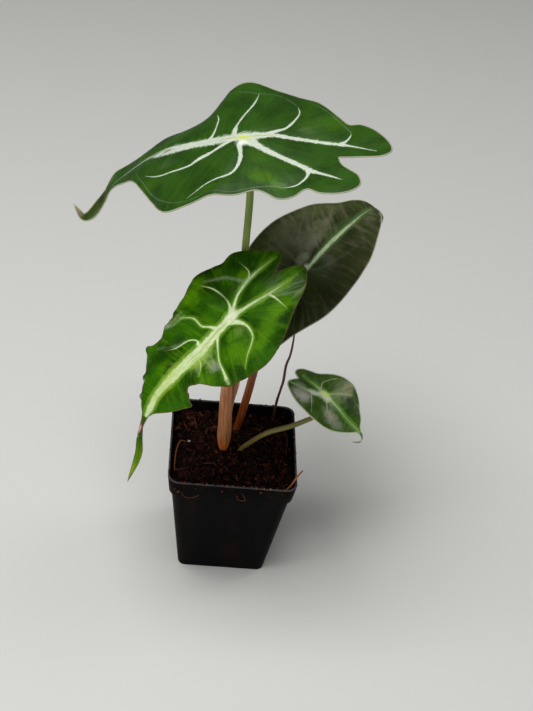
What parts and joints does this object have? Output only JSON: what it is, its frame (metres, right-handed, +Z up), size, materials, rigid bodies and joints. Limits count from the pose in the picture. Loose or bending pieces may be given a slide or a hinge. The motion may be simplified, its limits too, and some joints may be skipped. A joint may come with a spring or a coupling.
{
  "type": "potted venom alocasia",
  "caption": "Young arrow-leaved aroid with pale-veined, waved blades on slender stalks, rooted in coir in a square nursery pot.",
  "frame": {"origin": "middle of the pot's flat underside", "axes": "+Z up, +Y towards the pot's back, +X to the right seen from the front"},
  "size_m": [0.1735, 0.1469, 0.2732],
  "materials": {
    "pot": "satin black plastic",
    "soil": "crumbly coir",
    "tuber": "rough",
    "green_stalk": "satin",
    "pink_stalk": "satin, fine streaks",
    "brown_stalk": "satin, fine streaks",
    "dry_stalk": "dry",
    "top_leaf": "waxy, cream veins",
    "middle_leaf": "waxy, pale veins",
    "back_leaf": "waxy, dull",
    "small_leaf": "waxy, silvery glare"
  },
  "bodies": {
    "root": {"pot": "pot", "soil": "soil", "tuber": "tuber", "top_stalk": "green_stalk", "middle_stalk": "pink_stalk", "back_stalk": "brown_stalk", "small_stalk": "green_stalk", "dry_stalk": "dry_stalk", "top_leaf": "top_leaf", "middle_leaf": "middle_leaf", "back_leaf": "back_leaf", "small_leaf": "small_leaf"}
  },
  "joints": []
}
